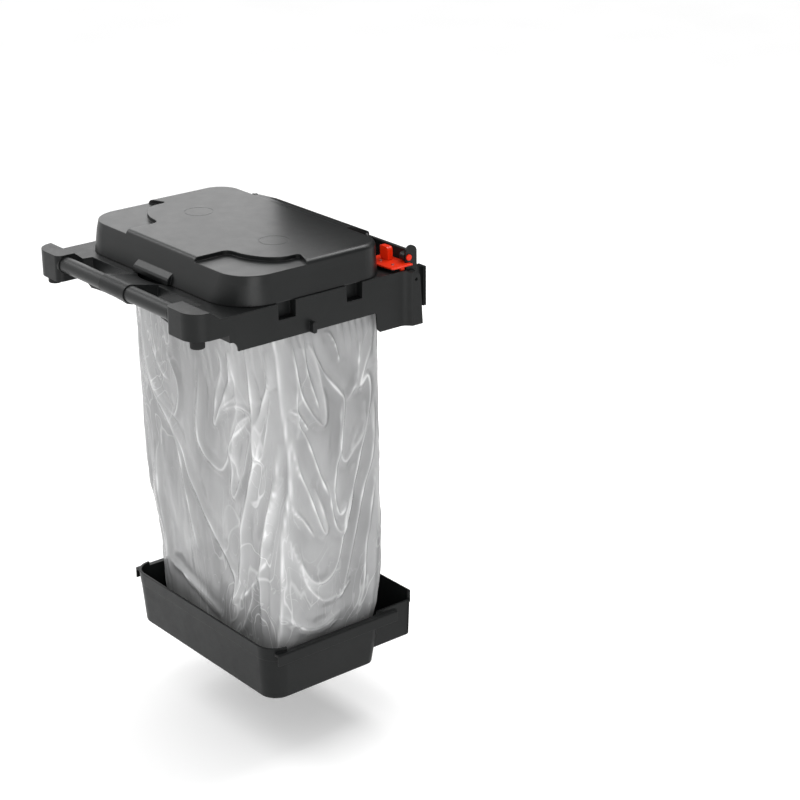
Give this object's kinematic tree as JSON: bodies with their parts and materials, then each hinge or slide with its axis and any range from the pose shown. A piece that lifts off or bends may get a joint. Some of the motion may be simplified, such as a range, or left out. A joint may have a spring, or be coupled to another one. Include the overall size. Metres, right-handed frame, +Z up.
{
  "type": "waste bag holder module",
  "caption": "Black plastic waste-bag unit for a cleaning cart: hinged lid over a fold-down bag frame with push handle, clear bag, rear post bracket with red latches, and drip tray",
  "frame": {"origin": "centre of the bounding box in plan, at the underside of the drip tray", "axes": "+Z up, -Y towards the handle, +X to the right of a person who faces the cart from the handle side"},
  "size_m": [0.58, 0.566, 0.9076],
  "materials": {
    "black_plastic": "fine satin moulded texture",
    "lid_plastic": "fine satin moulded texture",
    "tray_plastic": "fine satin moulded texture",
    "handle_satin": "smooth satin tube",
    "red_plastic": "orange-red moulded",
    "buffer_rubber": "matt rubber",
    "zinc_steel": "zinc plated",
    "clear_film": "translucent polyethylene film with folds"
  },
  "bodies": {
    "bracket": {"back_bracket": "black_plastic", "post_saddle_right": "black_plastic", "post_saddle_left": "black_plastic", "saddle_screws": "zinc_steel", "clamp_screws": "zinc_steel", "pivot_bolts": "zinc_steel", "button_caps": "black_plastic", "drip_tray": "tray_plastic", "waste_bag": "clear_film", "button_spring_right": "zinc_steel", "button_spring_left": "zinc_steel"},
    "deck": {"deck_frame": "black_plastic", "handle_bar": "handle_satin", "corner_buffers": "buffer_rubber", "buffer_screws": "zinc_steel", "bag_ring": "black_plastic", "hinge_brackets": "black_plastic", "hinge_screws": "zinc_steel", "lid_hinge_pin": "zinc_steel", "latch_base_right": "black_plastic", "latch_base_left": "black_plastic", "latch_cover_right": "red_plastic", "latch_cover_left": "red_plastic", "latch_screws": "zinc_steel", "slider_spring_right": "zinc_steel", "slider_spring_left": "zinc_steel"},
    "lid": {"lid_shell": "lid_plastic"},
    "latch_right": {"latch_slider_right": "red_plastic"},
    "latch_left": {"latch_slider_left": "red_plastic"},
    "button_right": {"lock_button_right": "red_plastic"},
    "button_left": {"lock_button_left": "red_plastic"}
  },
  "joints": [
    {"name": "deck_fold", "type": "hinge", "parent": "bracket", "child": "deck", "pos_m": [0, 0.2214, 0.8255], "axis": [1, 0, 0], "range_deg": [0, 88], "deforming": ["waste_bag"]},
    {"name": "lid_hinge", "type": "hinge", "parent": "deck", "child": "lid", "pos_m": [0, 0.212, 0.884], "axis": [-1, 0, 0], "range_deg": [0, 90]},
    {"name": "latch_slide_right", "type": "slide", "parent": "deck", "child": "latch_right", "axis": [-1, 0, 0], "range_m": [0, 0.008], "stiffness_N_per_m": 250, "springref_m": -0.004, "deforming": ["slider_spring_right"]},
    {"name": "lock_button_right_press", "type": "slide", "parent": "bracket", "child": "button_right", "axis": [-1, 0, 0], "range_m": [0, 0.0025], "stiffness_N_per_m": 600, "springref_m": -0.002, "deforming": ["button_spring_right"]},
    {"name": "latch_slide_left", "type": "slide", "parent": "deck", "child": "latch_left", "axis": [1, 0, 0], "range_m": [0, 0.008], "stiffness_N_per_m": 250, "springref_m": -0.004, "deforming": ["slider_spring_left"]},
    {"name": "lock_button_left_press", "type": "slide", "parent": "bracket", "child": "button_left", "axis": [1, 0, 0], "range_m": [0, 0.0025], "stiffness_N_per_m": 600, "springref_m": -0.002, "deforming": ["button_spring_left"]}
  ]
}
